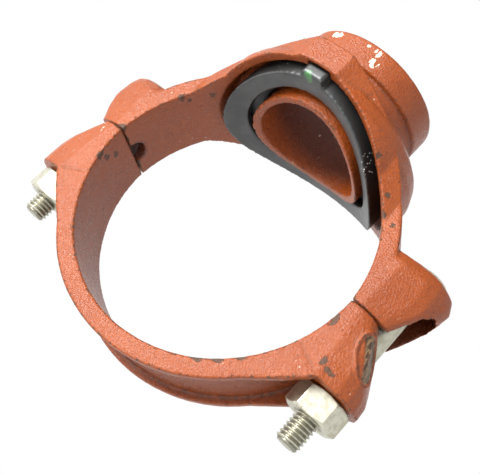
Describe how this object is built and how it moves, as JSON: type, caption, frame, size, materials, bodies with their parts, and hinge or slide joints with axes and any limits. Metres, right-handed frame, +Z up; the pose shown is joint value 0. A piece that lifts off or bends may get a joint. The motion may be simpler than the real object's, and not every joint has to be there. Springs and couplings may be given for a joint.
{
  "type": "bolted branch outlet pipe coupling",
  "caption": "Two-piece cast clamp that bolts round a run pipe and gives it a grooved side outlet, sealed by a rubber saddle gasket.",
  "frame": {"origin": "where the run pipe's axis in the outlet housing meets the outlet's axis", "axes": "+Y along the run pipe, X across the two bolts, +Z up the outlet"},
  "size_m": [0.1652, 0.087, 0.1458],
  "materials": {
    "painted_casting": "orange-red enamel over sand-cast iron, chipped",
    "gasket_rubber": "moulded black rubber, satin",
    "zinc_plate": "dull zinc plate"
  },
  "bodies": {
    "outlet_body": {"outlet_housing": "painted_casting", "bolt_left": "zinc_plate", "bolt_right": "zinc_plate"},
    "strap_body": {"strap_housing": "painted_casting"},
    "gasket_body": {"gasket": "gasket_rubber"},
    "nut_left_body": {"nut_left": "zinc_plate"},
    "nut_right_body": {"nut_right": "zinc_plate"}
  },
  "joints": [
    {"name": "strap_opening", "type": "slide", "parent": "outlet_body", "child": "strap_body", "axis": [0, 0, -1], "range_m": [0, 0.0085]},
    {"name": "nut_left_turn", "type": "hinge", "parent": "strap_body", "child": "nut_left_body", "pos_m": [-0.0687, 0, -0.029], "axis": [0, 0, -1], "range_deg": [0, 1935]},
    {"name": "nut_right_turn", "type": "hinge", "parent": "strap_body", "child": "nut_right_body", "pos_m": [0.0687, 0, -0.029], "axis": [0, 0, -1], "range_deg": [0, 1935]},
    {"name": "gasket_removal", "type": "slide", "parent": "outlet_body", "child": "gasket_body", "axis": [0, 0, -1], "range_m": [0, 0.02]}
  ],
  "couplings": [
    {"joint": "nut_left_turn", "follows": "strap_opening", "rad_per_m": 3957.9},
    {"joint": "nut_right_turn", "follows": "strap_opening", "rad_per_m": 3957.9}
  ]
}
